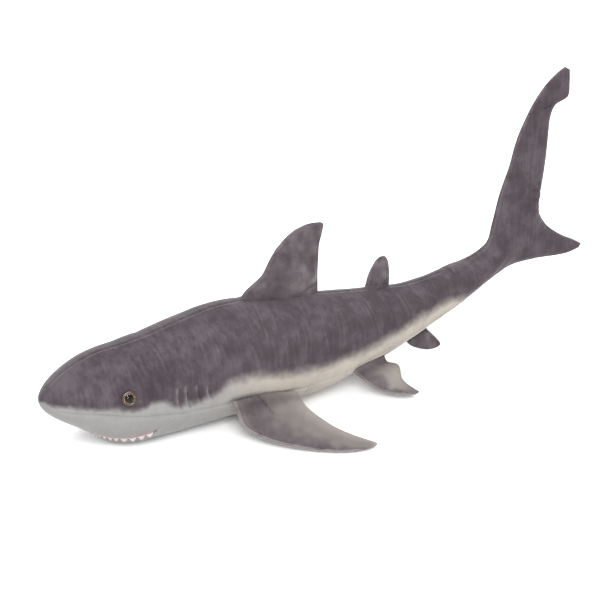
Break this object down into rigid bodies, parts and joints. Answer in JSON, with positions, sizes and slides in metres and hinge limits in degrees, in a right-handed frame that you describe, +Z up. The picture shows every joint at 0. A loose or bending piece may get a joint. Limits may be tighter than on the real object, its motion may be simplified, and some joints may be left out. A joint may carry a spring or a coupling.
{
  "type": "plush shark",
  "caption": "Stuffed velour shark lying on its belly, with sewn fins that flex at their root seams, a swaying tail, felt teeth and domed eyes.",
  "frame": {"origin": "middle of the footprint at the surface that the belly rests on", "axes": "-X towards the nose, +X towards the tail, -Y towards the shark's own left side, +Z up"},
  "size_m": [0.837, 0.3892, 0.395],
  "materials": {
    "velour_grey": "short-nap velour, mauve grey, brushed nap with a soft sheen",
    "velour_white": "short-nap velour, cream white shading to cool grey under the head",
    "polyester_fill": "loose polyester fibre",
    "mouth_fabric": "matt dark lining cloth",
    "gum_felt": "pink felt",
    "tooth_felt": "stiff white felt",
    "eye_brown": "moulded dark brown plastic",
    "eye_gold": "painted tan and gold disc",
    "eye_black": "painted black disc",
    "eye_clear": "clear moulded dome",
    "washer_plastic": "white moulded lock washer"
  },
  "bodies": {
    "torso": {"back_panel_left": "velour_grey", "back_panel_right": "velour_grey", "snout_panel": "velour_white", "belly_panel": "velour_white", "torso_stuffing": "polyester_fill", "mouth_lining": "mouth_fabric", "gum_strip": "gum_felt", "tooth_strip": "tooth_felt", "eye_socket_left": "eye_brown", "eye_iris_left": "eye_gold", "eye_pupil_left": "eye_black", "eye_dome_left": "eye_clear", "eye_washer_left": "washer_plastic", "eye_socket_right": "eye_brown", "eye_iris_right": "eye_gold", "eye_pupil_right": "eye_black", "eye_dome_right": "eye_clear", "eye_washer_right": "washer_plastic"},
    "dorsal_fin": {"dorsal_fin_left": "velour_grey", "dorsal_fin_right": "velour_grey", "dorsal_fin_batting": "polyester_fill"},
    "second_dorsal_fin": {"second_dorsal_left": "velour_grey", "second_dorsal_right": "velour_grey", "second_dorsal_batting": "polyester_fill"},
    "pectoral_fin_left": {"pectoral_top_left": "velour_grey", "pectoral_under_left": "velour_white", "pectoral_batting_left": "polyester_fill"},
    "pectoral_fin_right": {"pectoral_top_right": "velour_grey", "pectoral_under_right": "velour_white", "pectoral_batting_right": "polyester_fill"},
    "pelvic_fin_left": {"pelvic_top_left": "velour_grey", "pelvic_under_left": "velour_white", "pelvic_batting_left": "polyester_fill"},
    "pelvic_fin_right": {"pelvic_top_right": "velour_grey", "pelvic_under_right": "velour_white", "pelvic_batting_right": "polyester_fill"},
    "tail": {"tail_panel_left": "velour_grey", "tail_panel_right": "velour_grey", "tail_belly_strip": "velour_white", "tail_stuffing": "polyester_fill"},
    "anal_fin": {"anal_fin_left": "velour_grey", "anal_fin_right": "velour_grey", "anal_fin_batting": "polyester_fill"},
    "tail_fin": {"tail_fin_left": "velour_grey", "tail_fin_right": "velour_grey", "tail_fin_batting": "polyester_fill"}
  },
  "joints": [
    {"name": "dorsal_lean", "type": "hinge", "parent": "torso", "child": "dorsal_fin", "pos_m": [-0.1295, 0, 0.165], "axis": [0.9957, 0, -0.0922], "range_deg": [-22, 22], "stiffness_Nm_per_rad": 0.25},
    {"name": "second_dorsal_lean", "type": "hinge", "parent": "torso", "child": "second_dorsal_fin", "pos_m": [0.0525, 0, 0.139], "axis": [0.9971, 0, -0.0767], "range_deg": [-20, 20], "stiffness_Nm_per_rad": 0.06},
    {"name": "pectoral_lift_left", "type": "hinge", "parent": "torso", "child": "pectoral_fin_left", "pos_m": [-0.1865, -0.082, 0.042], "axis": [-0.9949, -0.0535, 0.0856], "range_deg": [0, 40], "stiffness_Nm_per_rad": 0.3},
    {"name": "pectoral_lift_right", "type": "hinge", "parent": "torso", "child": "pectoral_fin_right", "pos_m": [-0.1865, 0.082, 0.042], "axis": [0.9949, -0.0535, -0.0856], "range_deg": [0, 40], "stiffness_Nm_per_rad": 0.3},
    {"name": "pelvic_lift_left", "type": "hinge", "parent": "torso", "child": "pelvic_fin_left", "pos_m": [0.0145, -0.053, 0.031], "axis": [-0.9821, -0.1827, -0.0457], "range_deg": [-4, 30], "stiffness_Nm_per_rad": 0.08},
    {"name": "pelvic_lift_right", "type": "hinge", "parent": "torso", "child": "pelvic_fin_right", "pos_m": [0.0145, 0.053, 0.031], "axis": [0.9821, -0.1827, 0.0457], "range_deg": [-4, 30], "stiffness_Nm_per_rad": 0.08},
    {"name": "tail_sway", "type": "hinge", "parent": "torso", "child": "tail", "pos_m": [0.1365, 0, 0.09], "axis": [0, 0, 1], "range_deg": [-20, 20], "stiffness_Nm_per_rad": 1.5},
    {"name": "anal_lean", "type": "hinge", "parent": "tail", "child": "anal_fin", "pos_m": [0.1185, 0, 0.04], "axis": [0.9302, 0, 0.3672], "range_deg": [-15, 15], "stiffness_Nm_per_rad": 0.06},
    {"name": "tail_fin_sway", "type": "hinge", "parent": "tail", "child": "tail_fin", "pos_m": [0.2365, 0, 0.13], "axis": [0, 0, 1], "range_deg": [-20, 20], "stiffness_Nm_per_rad": 0.8}
  ]
}
